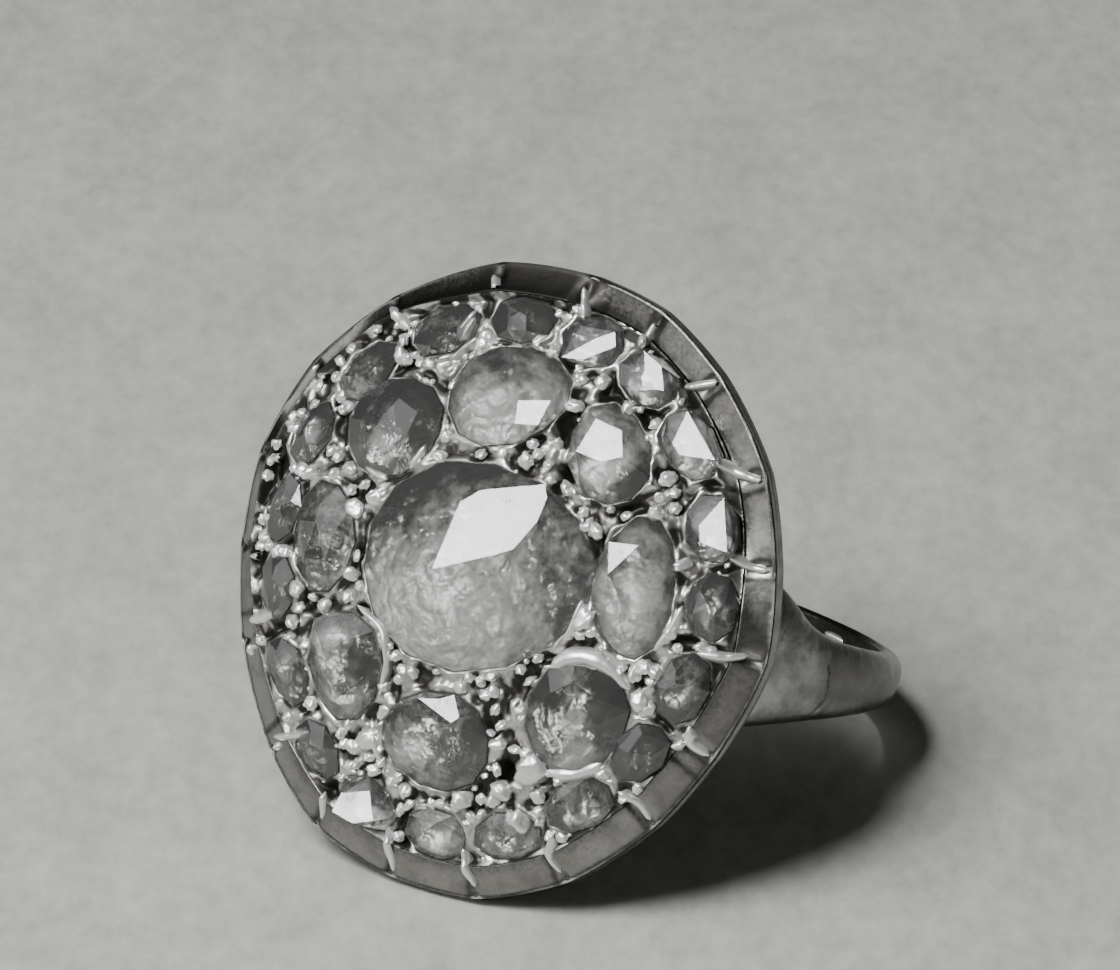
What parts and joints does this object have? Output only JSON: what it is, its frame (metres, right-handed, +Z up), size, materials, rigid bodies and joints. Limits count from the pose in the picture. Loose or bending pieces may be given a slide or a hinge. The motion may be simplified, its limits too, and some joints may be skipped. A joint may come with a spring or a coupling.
{
  "type": "finger ring",
  "caption": "Finger ring with a domed oval cluster of faceted stones in a closed-back silver head with a ribbed collar, on a plain hoop with wide shoulders.",
  "frame": {"origin": "centre of the bounding box on the floor that the ring rests on", "axes": "+Z up; -Y the way the face looks, tilted up by 27.4 degrees; +Y towards the hoop's back; +X to the right of someone who looks at the face"},
  "size_m": [0.0204, 0.0228, 0.0192],
  "materials": {
    "silver": "satin",
    "stone": "gloss"
  },
  "bodies": {
    "root": {"ring_mounting": "silver", "centre_stone": "stone", "inner_stone_1": "stone", "inner_stone_2": "stone", "inner_stone_3": "stone", "inner_stone_4": "stone", "inner_stone_5": "stone", "inner_stone_6": "stone", "inner_stone_7": "stone", "inner_stone_8": "stone", "outer_stone_1": "stone", "outer_stone_2": "stone", "outer_stone_3": "stone", "outer_stone_4": "stone", "outer_stone_5": "stone", "outer_stone_6": "stone", "outer_stone_7": "stone", "outer_stone_8": "stone", "outer_stone_9": "stone", "outer_stone_10": "stone", "outer_stone_11": "stone", "outer_stone_12": "stone", "outer_stone_13": "stone", "outer_stone_14": "stone", "outer_stone_15": "stone", "outer_stone_16": "stone", "outer_stone_17": "stone", "outer_stone_18": "stone", "outer_stone_19": "stone"}
  },
  "joints": []
}
